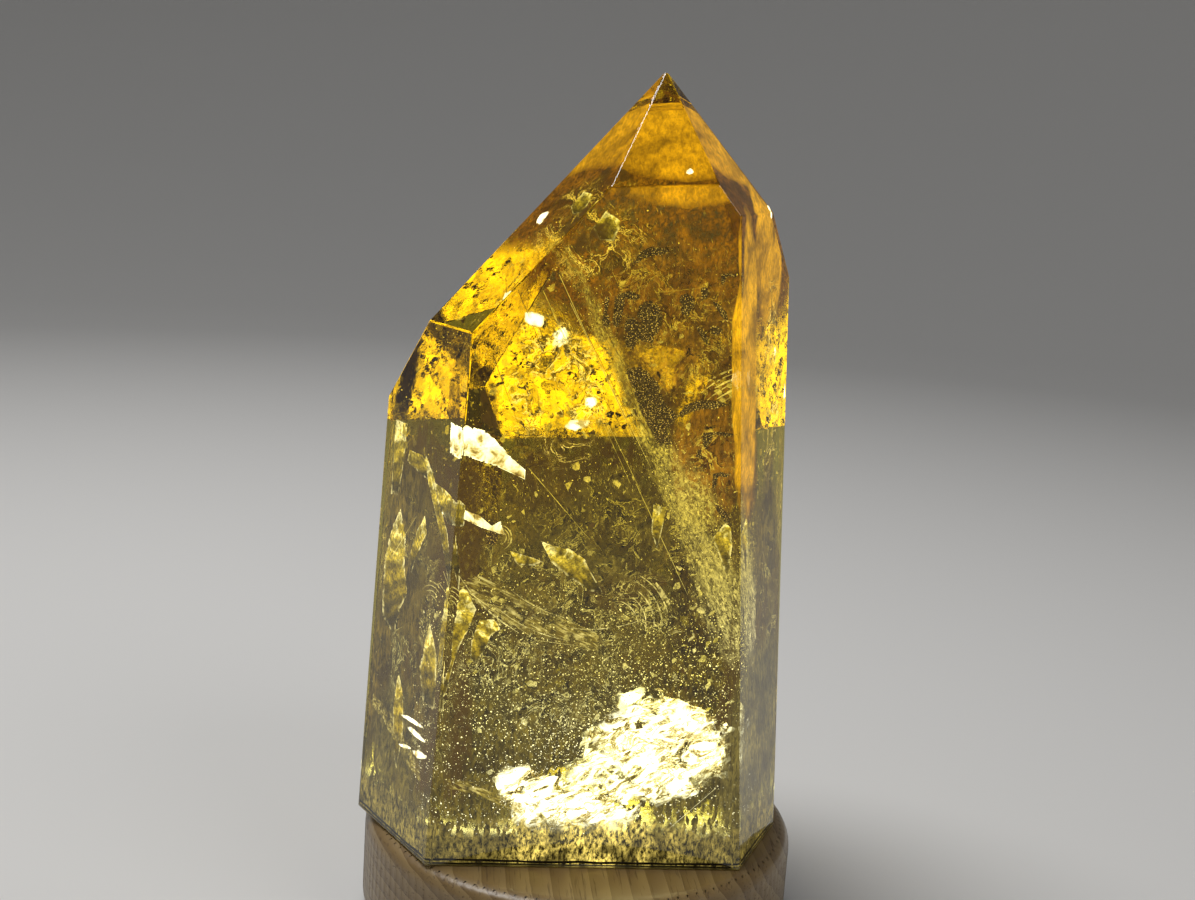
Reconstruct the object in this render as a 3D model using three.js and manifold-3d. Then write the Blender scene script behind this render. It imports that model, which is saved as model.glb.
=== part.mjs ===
// A polished quartz point on a round wooden light stand.
// Millimetres, +Z up. The origin is the middle of the stand's underside, and -Y is the front.

import * as THREE from 'three';
import { mergeVertices } from 'three/addons/utils/BufferGeometryUtils.js';
import Module from 'manifold-3d';

const wasm = await Module();
wasm.setup();

// The stand, and the light window let into its top.
const stand = { diameter: 100, height: 24, topRounding: 4, footChamfer: 1, segments: 96 };
const light = { diameter: 60, thickness: 3, recess: 0.3, clearance: 0.3 };

// The stone. Heights are above its sawn base. The azimuth of a face is the way it looks,
// counted from the front towards +X, and its lean is how far it tips in from upright, in degrees.
// A prism face has its distance from the stand's axis at the base. The tip faces meet at the tip.
const stoneTip = { x: 6.4, y: -11.7, z: 169.9 };
const tipWear = 0.6;

const prismFaces = [
  { azimuth: 0, lean: 1.6, distance: 32.9 },
  { azimuth: 61.7, lean: 4.6, distance: 44.1 },
  { azimuth: 112, lean: 0.2, distance: 38.7 },
  { azimuth: 180, lean: 0.9, distance: 50.8 },
  { azimuth: -119, lean: 0.4, distance: 43.7 },
  { azimuth: -62, lean: 2.7, distance: 47.3 },
];

const tipFaces = [
  { azimuth: -3.2, lean: 35.9 },
  { azimuth: 60.7, lean: 37.2 },
  { azimuth: 120.4, lean: 40.7 },
  { azimuth: 182.5, lean: 35.6 },
  { azimuth: -118.6, lean: 36.3 },
  { azimuth: -61.5, lean: 37.2 },
];

const quartz = new THREE.MeshStandardMaterial({
  name: 'quartz', color: 0xd9a514, roughness: 0.04, metalness: 0,
  transparent: true, opacity: 0.6, flatShading: true,
});
const wood = new THREE.MeshStandardMaterial({
  name: 'wood', color: 0x8a6238, roughness: 0.55, metalness: 0,
});
const window = new THREE.MeshStandardMaterial({
  name: 'light_window', color: 0xfff6e0, roughness: 0.5, metalness: 0, emissive: 0xfff0c8,
});

// A closed geometry as a solid that can be joined and cut.
function toSolid(geometry) {
  const bare = geometry.clone();
  bare.deleteAttribute('normal');
  bare.deleteAttribute('uv');
  const merged = mergeVertices(bare, 1e-4);
  return new wasm.Manifold(new wasm.Mesh({
    numProp: 3,
    vertProperties: Float32Array.from(merged.attributes.position.array),
    triVerts: Uint32Array.from(merged.index.array),
  }));
}

function toGeometry(solid) {
  const mesh = solid.getMesh();
  const geometry = new THREE.BufferGeometry();
  geometry.setAttribute('position', new THREE.BufferAttribute(mesh.vertProperties, 3));
  geometry.setIndex(new THREE.BufferAttribute(mesh.triVerts, 1));
  geometry.computeVertexNormals();
  return geometry;
}

// The way a face looks, from its azimuth and lean.
function outward({ azimuth, lean }) {
  const turn = THREE.MathUtils.degToRad(azimuth);
  const tilt = THREE.MathUtils.degToRad(lean);
  return new THREE.Vector3(
    Math.sin(turn) * Math.cos(tilt),
    -Math.cos(turn) * Math.cos(tilt),
    Math.sin(tilt),
  );
}

// Grinds a flat through a point: all that lies beyond it, the way the face looks, is taken off.
function grind(stone, normal, point) {
  const reach = 400;
  const waste = new THREE.BoxGeometry(reach, reach, reach);
  waste.translate(0, 0, reach / 2);
  waste.applyQuaternion(new THREE.Quaternion().setFromUnitVectors(new THREE.Vector3(0, 0, 1), normal));
  waste.translate(point.x, point.y, point.z);
  return stone.subtract(toSolid(waste));
}

// The stone starts as a rough block standing on the stand, and is ground face by face.
function quartzPoint() {
  const rough = new THREE.BoxGeometry(160, 160, 200);
  rough.translate(0, 0, 100 + stand.height);
  const tip = new THREE.Vector3(stoneTip.x, stoneTip.y, stoneTip.z + stand.height);
  let stone = toSolid(rough);
  for (const face of prismFaces) {
    const foot = outward({ azimuth: face.azimuth, lean: 0 }).multiplyScalar(face.distance);
    foot.z = stand.height;
    stone = grind(stone, outward(face), foot);
  }
  for (const face of tipFaces) {
    stone = grind(stone, outward(face), tip);
  }
  const worn = new THREE.Vector3(tip.x, tip.y, tip.z - tipWear);
  return grind(stone, new THREE.Vector3(0, 0, 1), worn);
}

// Turns a profile of [radius, height] points about the Z axis.
function turned(profile) {
  const points = profile.map(([radius, height]) => new THREE.Vector2(radius, height));
  const geometry = new THREE.LatheGeometry(points, stand.segments);
  geometry.rotateX(Math.PI / 2);
  return toSolid(geometry);
}

// The wooden block: a small chamfer at the foot, a rounded top edge, and a pocket for the window.
function standBlock() {
  const radius = stand.diameter / 2;
  const pocketRadius = light.diameter / 2 + light.clearance;
  const pocketFloor = stand.height - light.recess - light.thickness - light.clearance;
  const round = stand.topRounding;
  const steps = 6;
  const profile = [[0, 0], [radius - stand.footChamfer, 0], [radius, stand.footChamfer]];
  for (let i = 0; i <= steps; i += 1) {
    const angle = (i / steps) * Math.PI / 2;
    profile.push([
      radius - round + round * Math.cos(angle),
      stand.height - round + round * Math.sin(angle),
    ]);
  }
  profile.push([pocketRadius, stand.height], [pocketRadius, pocketFloor], [0, pocketFloor]);
  return turned(profile);
}

// The lit window: a flat round pane, just below the wood around it.
function windowPane() {
  const radius = light.diameter / 2;
  const top = stand.height - light.recess;
  const bevel = 0.5;
  return turned([
    [0, top - light.thickness],
    [radius, top - light.thickness],
    [radius, top - bevel],
    [radius - bevel, top],
    [0, top],
  ]);
}

function part(name, solid, material) {
  const mesh = new THREE.Mesh(toGeometry(solid), material);
  mesh.name = name;
  return mesh;
}

const litStone = new THREE.Group();
litStone.add(
  part('quartz_crystal', quartzPoint(), quartz),
  part('stand_base', standBlock(), wood),
  part('light_window', windowPane(), window),
);

export default litStone;
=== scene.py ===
import math
import bpy
from mathutils import Matrix, Vector


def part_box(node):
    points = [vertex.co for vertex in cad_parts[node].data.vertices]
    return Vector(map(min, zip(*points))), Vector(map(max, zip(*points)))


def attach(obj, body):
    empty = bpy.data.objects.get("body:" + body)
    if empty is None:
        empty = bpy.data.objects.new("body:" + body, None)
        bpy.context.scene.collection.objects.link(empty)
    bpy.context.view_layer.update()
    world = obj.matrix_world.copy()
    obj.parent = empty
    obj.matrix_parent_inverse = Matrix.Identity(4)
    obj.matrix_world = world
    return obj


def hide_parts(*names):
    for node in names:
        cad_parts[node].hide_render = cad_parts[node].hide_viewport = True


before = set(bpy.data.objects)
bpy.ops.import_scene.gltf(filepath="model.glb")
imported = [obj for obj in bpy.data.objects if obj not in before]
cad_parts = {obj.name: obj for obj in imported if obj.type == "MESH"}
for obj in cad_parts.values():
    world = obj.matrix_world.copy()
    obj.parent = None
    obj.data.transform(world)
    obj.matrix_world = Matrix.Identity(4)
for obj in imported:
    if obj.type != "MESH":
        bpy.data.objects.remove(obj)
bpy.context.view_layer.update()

mm = 0.001
stoneLow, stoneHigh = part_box("quartz_crystal")


def deselectAll():
    if bpy.context.object and bpy.context.object.mode != "OBJECT":
        bpy.ops.object.mode_set(mode="OBJECT")
    bpy.ops.object.select_all(action="DESELECT")


def makeActive(piece):
    deselectAll()
    piece.select_set(True)
    bpy.context.view_layer.objects.active = piece


def editAll(piece):
    makeActive(piece)
    bpy.ops.object.mode_set(mode="EDIT")
    bpy.ops.mesh.select_all(action="SELECT")


def applyModifiers(piece):
    makeActive(piece)
    for modifier in list(piece.modifiers):
        bpy.ops.object.modifier_apply(modifier=modifier.name)


def settle(piece):
    makeActive(piece)
    bpy.ops.object.transform_apply(location=True, rotation=True, scale=True)


def finishPiece(piece, material):
    settle(piece)
    piece.data.materials.clear()
    piece.data.materials.append(material)
    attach(piece, "root")
    return piece


def joinPieces(pieces, name):
    deselectAll()
    for piece in pieces:
        piece.select_set(True)
    bpy.context.view_layer.objects.active = pieces[0]
    if len(pieces) > 1:
        bpy.ops.object.join()
    joined = bpy.context.object
    joined.name = name
    joined.data.name = name
    return joined


def copyOfNode(name, newName):
    piece = bpy.data.objects.new(newName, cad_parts[name].data.copy())
    bpy.context.scene.collection.objects.link(piece)
    editAll(piece)
    bpy.ops.mesh.remove_doubles(threshold=0.01 * mm)
    bpy.ops.mesh.dissolve_limited(angle_limit=math.radians(0.3))
    bpy.ops.object.mode_set(mode="OBJECT")
    return piece


# material helpers: every pattern is worked out from the object's own coordinates

def newMaterial(name):
    material = bpy.data.materials.new(name)
    material.use_nodes = True
    material.cycles.emission_sampling = "NONE"
    return material, material.node_tree


# an input gets a value, or a link from another node's output
def feed(tree, node, inputs):
    for key, value in inputs.items():
        if isinstance(value, bpy.types.NodeSocket):
            tree.links.new(value, node.inputs[key])
        else:
            node.inputs[key].default_value = value


def addNode(tree, kind, inputs=None, **settings):
    node = tree.nodes.new(kind)
    for key, value in settings.items():
        setattr(node, key, value)
    feed(tree, node, inputs or {})
    return node


def setSurface(material, inputs):
    feed(material.node_tree, material.node_tree.nodes["Principled BSDF"], inputs)
    return material


# a film coloured only by painted light: it glows by itself in place of the stand's lamp light, the lamps of
# the studio don't color it, and where its glow is near black it is painted shade
def setFilm(material, light, alpha=1, strength=1):
    return setSurface(material, {
        "Base Color": (0, 0, 0, 1), "Roughness": 0.5, "Specular IOR Level": 0,
        "Emission Color": light, "Emission Strength": strength, "Alpha": alpha,
    })


def objectPattern(tree, scale=(1, 1, 1), turn=(0, 0, 0), kind="POINT"):
    place = addNode(tree, "ShaderNodeTexCoord").outputs["Object"]
    inputs = {"Vector": place, "Scale": scale, "Rotation": turn}
    return addNode(tree, "ShaderNodeMapping", inputs, vector_type=kind).outputs["Vector"]


# the object's own x, y or z
def along(tree, axis):
    return addNode(tree, "ShaderNodeSeparateXYZ", {"Vector": objectPattern(tree)}).outputs[axis]


finestGrain = 0.18 * mm


# octaves of noise finer than the finest grain are left out
def octaves(grain, detail):
    return min(detail, max(1, 1 + math.log2(grain / finestGrain)))


def addNoise(tree, grain, detail=4, rough=0.6, distortion=0, stretch=(1, 1, 1), lean=None):
    pattern = objectPattern(tree, stretch, lean, "TEXTURE") if lean else objectPattern(tree, stretch)
    return addNode(tree, "ShaderNodeTexNoise", {
        "Vector": pattern, "Scale": 1 / grain, "Detail": octaves(grain, detail),
        "Roughness": rough, "Distortion": distortion,
    }).outputs["Fac"]


# stretched along one axis of a frame that leans
def leaningNoise(tree, grain, stretch, lean, detail, rough=0.65, distortion=0.6):
    return addNoise(tree, grain, detail, rough, distortion, stretch, lean)


def remap(tree, value, fromLow, fromHigh, toLow=0, toHigh=1):
    return addNode(tree, "ShaderNodeMapRange", {
        "Value": value, "From Min": fromLow, "From Max": fromHigh, "To Min": toLow, "To Max": toHigh,
    }).outputs["Result"]


def calc(tree, operation, *values):
    return addNode(tree, "ShaderNodeMath", dict(enumerate(values)), operation=operation).outputs["Value"]


def times(tree, first, second):
    return calc(tree, "MULTIPLY", first, second)


def larger(tree, first, second):
    return calc(tree, "MAXIMUM", first, second)


def vectorCalc(tree, operation, *values):
    return addNode(tree, "ShaderNodeVectorMath", dict(enumerate(values)), operation=operation)


# distance from the upright middle line of the stand
def fromMiddle(tree):
    return vectorCalc(tree, "LENGTH", objectPattern(tree, (1, 1, 0))).outputs["Value"]


def attribute(tree, name):
    return addNode(tree, "ShaderNodeAttribute", attribute_name=name).outputs["Fac"]


# a sheet shows nothing at its rim and all of itself from the given share of its radius inwards
def fadeIn(tree, share):
    return remap(tree, attribute(tree, "reach"), 1, share)


# 1 along the thin lines where a pattern crosses its middle, 0 away from them
def contour(tree, pattern, middle, width):
    away = calc(tree, "ABSOLUTE", calc(tree, "SUBTRACT", pattern, middle))
    return remap(tree, away, width, 0)


# a flake's border looks torn: there the film holds only where the pattern is high
def tornEdge(tree, grain):
    pattern = addNoise(tree, grain * mm, detail=5, rough=0.7)
    held = calc(tree, "SUBTRACT", pattern, times(tree, attribute(tree, "rim"), 0.24))
    return remap(tree, held, 0.25, 0.3)


def colorRamp(tree, value, stops):
    node = addNode(tree, "ShaderNodeValToRGB", {"Fac": value})
    ramp = node.color_ramp
    while len(ramp.elements) < len(stops):
        ramp.elements.new(0.5)
    for element, (position, color) in zip(ramp.elements, stops):
        element.position = position
        element.color = (*color, 1)
    return node.outputs["Color"]


def mixColor(tree, share, first, second, blend="MIX"):
    inputs = {0: share, 6: first, 7: second}
    return addNode(tree, "ShaderNodeMix", inputs, data_type="RGBA", blend_type=blend).outputs[2]


def multiplyColor(tree, first, second):
    return mixColor(tree, 1.0, first, second, "MULTIPLY")


def bump(tree, height, strength, depth):
    inputs = {"Height": height, "Strength": strength, "Distance": depth}
    return addNode(tree, "ShaderNodeBump", inputs).outputs["Normal"]


# camera

view = {
    "place": (-39.05 * mm, -332.6 * mm, 173.9 * mm), "turn": -6.47, "tilt": 10.81, "roll": 3.92,
    "lens": 45.2, "filmWidth": 36,
}


def addCamera():
    data = bpy.data.cameras.new("camera")
    data.lens = view["lens"]
    data.sensor_width = view["filmWidth"]
    data.clip_start = 0.01
    camera = bpy.data.objects.new("camera", data)
    bpy.context.scene.collection.objects.link(camera)
    camera.matrix_world = (
        Matrix.Translation(view["place"])
        @ Matrix.Rotation(math.radians(view["turn"]), 4, "Z")
        @ Matrix.Rotation(math.radians(90 - view["tilt"]), 4, "X")
        @ Matrix.Rotation(math.radians(view["roll"]), 4, "Z")
    )
    bpy.context.scene.camera = camera


addCamera()
print("camera ready")


# stage: a pale floor that curves up into a pale wall, under soft light

stage = {
    "floorRadius": 1.1, "wallRadius": 1.9, "wallHeight": 1.6, "steps": 96, "bendSteps": 10,
    "color": (0.72, 0.71, 0.69, 1), "skyColor": (0.95, 0.96, 1, 1), "skyStrength": 0.1,
}
lamps = (
    {"name": "softKey", "place": (-0.3, 0.1, 1), "aim": (0, 0.1, 0), "size": 0.6, "power": 7.5},
    {"name": "softFill", "place": (0.9, -0.9, 1.1), "aim": (0, 0, 0.05), "size": 0.9, "power": 3.5},
)


def addStage():
    deselectAll()
    bpy.ops.mesh.primitive_circle_add(vertices=stage["steps"], radius=stage["floorRadius"], fill_type="NGON")
    floor = bpy.context.object
    floor.name = "paleFloor"
    bpy.ops.object.mode_set(mode="EDIT")
    bpy.ops.mesh.select_all(action="SELECT")
    bpy.ops.mesh.select_mode(type="EDGE")
    bpy.ops.mesh.region_to_loop()
    bend = stage["wallRadius"] - stage["floorRadius"]
    quarter = math.pi / 2 / stage["bendSteps"]
    radius = stage["floorRadius"]
    for step in range(stage["bendSteps"]):
        nextRadius = stage["floorRadius"] + bend * math.sin(quarter * (step + 1))
        lift = bend * (math.cos(quarter * step) - math.cos(quarter * (step + 1)))
        bpy.ops.mesh.extrude_region_move()
        bpy.ops.transform.resize(value=(nextRadius / radius, nextRadius / radius, 1))
        bpy.ops.transform.translate(value=(0, 0, lift))
        radius = nextRadius
    bpy.ops.mesh.extrude_region_move(TRANSFORM_OT_translate={"value": (0, 0, stage["wallHeight"])})
    bpy.ops.mesh.select_all(action="SELECT")
    bpy.ops.mesh.normals_make_consistent(inside=True)
    bpy.ops.object.mode_set(mode="OBJECT")
    bpy.ops.object.shade_smooth()
    material = newMaterial("paleFloor")[0]
    floor.data.materials.append(setSurface(material, {"Base Color": stage["color"], "Roughness": 0.9}))


def addLamp(lamp):
    data = bpy.data.lights.new(lamp["name"], "AREA")
    data.shape = "DISK"
    data.size = lamp["size"]
    data.energy = lamp["power"]
    piece = bpy.data.objects.new(lamp["name"], data)
    bpy.context.scene.collection.objects.link(piece)
    piece.location = lamp["place"]
    piece.rotation_euler = (Vector(lamp["aim"]) - Vector(lamp["place"])).to_track_quat("-Z", "Y").to_euler()


def addSky():
    world = bpy.data.worlds.new("studio")
    bpy.context.scene.world = world
    world.use_nodes = True
    feed(world.node_tree, world.node_tree.nodes["Background"], {
        "Color": stage["skyColor"], "Strength": stage["skyStrength"]})


addStage()
addSky()
for lamp in lamps:
    addLamp(lamp)
bpy.context.scene.view_settings.view_transform = "Standard"
tracing = bpy.context.scene.cycles
tracing.max_bounces = 6
tracing.transmission_bounces = 6
tracing.glossy_bounces = 3
tracing.diffuse_bounces = 1
tracing.transparent_max_bounces = 12
print("stage ready")


# the stone: ground flats with slightly worn edges, sawn and left frosted underneath

stone = {
    "edgeWear": 0.25 * mm, "bedGap": 0.15 * mm, "smallestFacet": 20 * mm * mm, "ior": 1.548,
    "absorbColor": (0.814, 0.767, 0.143, 1), "absorbDensity": 70,
    "frostTop": 0.5 * mm, "frostFull": 0.3 * mm, "frostRoughness": 0.6,
}


def stoneMaterial():
    material, tree = newMaterial("smokyQuartz")
    frost = remap(tree, along(tree, "Z"), stoneLow.z + stone["frostTop"], stoneLow.z + stone["frostFull"])
    smears = remap(tree, addNoise(tree, 14 * mm, detail=5), 0.45, 0.75, 0.005, 0.05)
    rough = addNode(
        tree, "ShaderNodeMix", {0: frost, 2: smears, 3: stone["frostRoughness"]}, data_type="FLOAT",
    )
    polish = addNoise(tree, 5 * mm, detail=3, rough=0.45)
    absorb = addNode(tree, "ShaderNodeVolumeAbsorption", {
        "Color": stone["absorbColor"], "Density": stone["absorbDensity"]})
    feed(tree, tree.nodes["Material Output"], {"Volume": absorb.outputs["Volume"]})
    return setSurface(material, {
        "Base Color": (1, 1, 1, 1), "Transmission Weight": 1, "IOR": stone["ior"],
        "Roughness": rough.outputs[0], "Normal": bump(tree, polish, 0.12, 0.35 * mm),
    })


def buildStone():
    piece = copyOfNode("quartz_crystal", "quartzStone")
    facets = [
        (facet.center.copy(), facet.normal.copy())
        for facet in piece.data.polygons if facet.area > stone["smallestFacet"]
    ]
    for vertex in piece.data.vertices:
        if vertex.co.z < stoneLow.z + 0.01 * mm:
            vertex.co.z += stone["bedGap"]
    editAll(piece)
    bpy.ops.mesh.bevel(offset=stone["edgeWear"], segments=2, affect="EDGES")
    bpy.ops.mesh.normals_make_consistent(inside=False)
    bpy.ops.object.mode_set(mode="OBJECT")
    finishPiece(piece, stoneMaterial())
    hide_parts("quartz_crystal")
    return facets


facets = buildStone()
print("stone ready,", len(facets), "facets")


# thin lens-shaped sheets and cut flakes stand for the cracks in the stone

flakeGap = 0.4 * mm  # kept free under the stone's faces


def trimToStone(piece, margin):
    editAll(piece)
    for center, normal in facets:
        bpy.ops.mesh.select_all(action="SELECT")
        bpy.ops.mesh.bisect(
            plane_co=center - normal * margin, plane_no=normal, use_fill=True, clear_outer=True,
        )
    bpy.ops.object.mode_set(mode="OBJECT")
    return piece


# turn is spin in its own plane, lay back from upright, yaw about the vertical
def turned(place, turn):
    spin, lay, yaw = (math.radians(angle) for angle in turn)
    return (
        Matrix.Translation(Vector(place) * mm) @ Matrix.Rotation(yaw, 4, "Z")
        @ Matrix.Rotation(math.pi / 2 - lay, 4, "X") @ Matrix.Rotation(spin, 4, "Z")
    )


def clouds(grain):
    texture = bpy.data.textures.new("clouds", "CLOUDS")
    texture.noise_scale = grain * mm
    texture.noise_depth = 3
    return texture


def addPush(piece, direction, amount, grain):
    push = piece.modifiers.new("push" + direction, "DISPLACE")
    push.texture = clouds(grain)
    push.texture_coords = "GLOBAL"
    push.direction = direction
    push.strength = amount * mm
    push.mid_level = 0.5


# size is width, height, thickness
def addLens(name, place, size, turn=(0, 0, 0), bow=0, wobble=0, ripple=0, grain=8, detail=4, margin=1.2):
    deselectAll()
    bpy.ops.mesh.primitive_ico_sphere_add(subdivisions=detail, radius=1)
    piece = bpy.context.object
    piece.name = name
    reach = piece.data.attributes.new("reach", "FLOAT", "POINT")
    for vertex in piece.data.vertices:
        reach.data[vertex.index].value = math.hypot(vertex.co.x, vertex.co.y)
    editAll(piece)
    bpy.ops.transform.resize(value=tuple(side / 2 * mm for side in size))
    bpy.ops.object.mode_set(mode="OBJECT")
    piece.matrix_world = turned(place, turn)
    if bow:
        bend = piece.modifiers.new("bow", "SIMPLE_DEFORM")
        bend.deform_method = "BEND"
        bend.deform_axis = "Y"
        bend.angle = math.radians(bow)
    if wobble:
        addPush(piece, "X", wobble, grain)
        addPush(piece, "Y", wobble, grain * 0.7)
    if ripple:
        addPush(piece, "Z", ripple, grain)
    applyModifiers(piece)
    settle(piece)
    return trimToStone(piece, margin * mm)


filmThickness = 0.12

# wavy sheets that carry loose chips, rain and swarms of bubbles
scatterHost = {"thickness": 0.2, "bow": 16, "ripple": 6, "grain": 20}
swarmHost = {"thickness": 0.2, "bow": 20, "ripple": 8, "grain": 20}


# sheets are each a place, a (width, height) and a turn
def addSheets(name, sheets, thickness, **settings):
    pieces = [
        addLens(f"{name}{number}", place, (*size, thickness), turn, **settings)
        for number, (place, size, turn) in enumerate(sheets)
    ]
    return joinPieces(pieces, name)


# a flake cut to an outline of points about its own middle, as seen from the front
def addFlake(name, place, outline, turn=(0, 0, 0), thickness=filmThickness, ripple=0.6, grain=5, cuts=7):
    deselectAll()
    bpy.ops.mesh.primitive_circle_add(vertices=len(outline), radius=mm, fill_type="NGON")
    piece = bpy.context.object
    piece.name = name
    for vertex, (across, up) in zip(piece.data.vertices, outline):
        vertex.co = (across * mm, up * mm, 0)
    editAll(piece)
    bpy.ops.mesh.quads_convert_to_tris()
    bpy.ops.mesh.subdivide(number_cuts=cuts)
    bpy.ops.mesh.normals_make_consistent(inside=False)
    bpy.ops.mesh.select_all(action="DESELECT")
    bpy.ops.mesh.select_non_manifold()
    bpy.ops.object.mode_set(mode="OBJECT")
    rim = piece.data.attributes.new("rim", "FLOAT", "POINT")
    down = piece.data.attributes.new("down", "FLOAT", "POINT")
    heights = [up for across, up in outline]
    tall = max(heights) - min(heights)
    for vertex in piece.data.vertices:
        rim.data[vertex.index].value = 1 if vertex.select else 0
        down.data[vertex.index].value = 0.5 - vertex.co.y / mm / tall
    piece.matrix_world = turned(place, turn)
    addPush(piece, "Z", ripple, grain)
    wall = piece.modifiers.new("wall", "SOLIDIFY")
    wall.thickness = thickness * mm
    applyModifiers(piece)
    settle(piece)
    return trimToStone(piece, flakeGap)


def addNeedle(name, start, end, width):
    start, end = Vector(start) * mm, Vector(end) * mm
    deselectAll()
    bpy.ops.mesh.primitive_cone_add(
        vertices=5, radius1=width / 2 * mm, radius2=width / 5 * mm, depth=(end - start).length,
        location=(start + end) / 2, rotation=(end - start).to_track_quat("Z", "Y").to_euler(),
    )
    needle = bpy.context.object
    needle.name = name
    settle(needle)
    return needle


anyTurn = ((0, 0, 0), (6.28, 6.28, 6.28))


def randomVector(group, low, high, seed):
    inputs = {0: low, 1: high, "Seed": seed}
    return addNode(group, "FunctionNodeRandomValue", inputs, data_type="FLOAT_VECTOR").outputs[0]


# turns a host's surface into a swarm of small bubbles: size is smallest and largest, stretch lengthens
# them, and rounds are the segments and rings of each
def addBubbles(host, density, size, spread, seed, stretch=1.6, aligned=anyTurn, rounds=(4, 2), crinkle=0):
    group = bpy.data.node_groups.new(host.name, "GeometryNodeTree")
    for way in ("INPUT", "OUTPUT"):
        group.interface.new_socket("Geometry", in_out=way, socket_type="NodeSocketGeometry")
    source = addNode(group, "NodeGroupInput").outputs[0]
    points = addNode(group, "GeometryNodeDistributePointsOnFaces", {
        "Mesh": source, "Density": density / mm / mm, "Seed": seed}).outputs["Points"]
    drift = randomVector(group, (-spread * mm,) * 3, (spread * mm,) * 3, seed + 1)
    moved = addNode(group, "GeometryNodeSetPosition", {"Geometry": points, "Offset": drift}).outputs[0]
    segments, rings = rounds
    ball = addNode(group, "GeometryNodeMeshUVSphere", {
        "Segments": segments, "Rings": rings, "Radius": 1.0}).outputs["Mesh"]
    grain = addNode(group, "GeometryNodeTransform", {"Geometry": ball, "Scale": (1, 1, stretch)}).outputs[0]
    chance = addNode(group, "FunctionNodeRandomValue", {"Seed": seed + 2}, data_type="FLOAT").outputs[1]
    smallest, largest = size
    scale = remap(group, calc(group, "POWER", chance, 3.0), 0, 1, smallest / 2 * mm, largest / 2 * mm)
    turn = randomVector(group, *aligned, seed + 3)
    placed = addNode(group, "GeometryNodeInstanceOnPoints", {
        "Points": moved, "Instance": grain, "Rotation": turn, "Scale": scale}).outputs[0]
    shape = addNode(group, "GeometryNodeRealizeInstances", {"Geometry": placed}).outputs[0]
    if crinkle:
        noise = addNode(group, "ShaderNodeTexNoise", {"Scale": 0.9 / mm, "Detail": 2.0}).outputs["Color"]
        centered = vectorCalc(group, "ADD", noise, (-0.5, -0.5, -0.5)).outputs[0]
        pushed = vectorCalc(group, "MULTIPLY", centered, (crinkle * mm,) * 3).outputs[0]
        shape = addNode(group, "GeometryNodeSetPosition", {"Geometry": shape, "Offset": pushed}).outputs[0]
    result = addNode(group, "NodeGroupOutput")
    group.links.new(shape, result.inputs[0])
    host.modifiers.new("bubbles", "NODES").node_group = group
    applyModifiers(host)
    return host


# painted light: the glow painted on a crack is white at the lamp and turns gold and weaker on its way up
glowStops = (
    (0, (1, 0.97, 0.88)), (0.2, (0.85, 0.78, 0.45)), (0.45, (0.62, 0.48, 0.09)), (1, (0.5, 0.34, 0.02)),
)


def heightGlow(tree):
    return colorRamp(tree, remap(tree, along(tree, "Z"), stoneLow.z, stoneHigh.z), glowStops)


# cover is the share of a patchy film that shows, solid how opaque that share is
def patchAlpha(tree, patches, cover, solid, contrast):
    middle = 0.68 - cover * 0.36
    return remap(tree, patches, middle - contrast / 2, middle + contrast / 2, 0, solid)


# a crack painted as if it catches the lamp: a patchy glow of painted light
def litMaterial(name, strength, cover, grain, solid, contrast):
    material, tree = newMaterial(name)
    patches = addNoise(tree, grain * mm, detail=7, rough=0.7, distortion=0.6)
    shine = remap(tree, addNoise(tree, grain * 2.3 * mm, detail=3), 0.3, 0.7, 0.35, 1.3)
    return setFilm(
        material, multiplyColor(tree, heightGlow(tree), shine),
        times(tree, patchAlpha(tree, patches, cover, solid, contrast), fadeIn(tree, 0.8)), strength=strength,
    )


# the colour of painted shade, and the faint painted glow that shows through it
paintedShadeColor = (0.05, 0.028, 0.005)
paintedGlowThrough = (0.06, 0.03, 0.0012, 1)


# painted shade: a dark, patchy sheet put where the stone looks dark, brown with a little painted glow through
# it
def shadeMaterial(name, color, cover, grain, solid, contrast, stretch=(1, 1, 1)):
    material, tree = newMaterial(name)
    patches = addNoise(tree, grain * mm, detail=6, rough=0.65, distortion=0.4, stretch=stretch)
    tone = multiplyColor(tree, (*color, 1), remap(tree, patches, 0, 1, 0.6, 1.8))
    return setFilm(
        material, mixColor(tree, 1.0, paintedGlowThrough, tone, "ADD"),
        times(tree, patchAlpha(tree, patches, cover, solid, contrast), fadeIn(tree, 0.75)),
    )


# the floor of the stone: one crumpled crack over the whole base, with a pool of painted light that
# stands for the lamp below and fills the back facets with painted light
rootFloor = {
    "place": (1, 8, 25.2), "size": (150, 140, 0.25), "ripple": 0.9, "grain": 9,
    "poolMiddle": (-5 * mm, -14 * mm, 0), "poolShape": (0.87, 1, 0), "poolEdge": 42 * mm, "poolCore": 32 * mm,
    "frontDark": -20 * mm, "frontLit": -10 * mm, "insetDark": 1, "insetLit": 4, "unlit": 0.02, "strength": 19,
}


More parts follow.
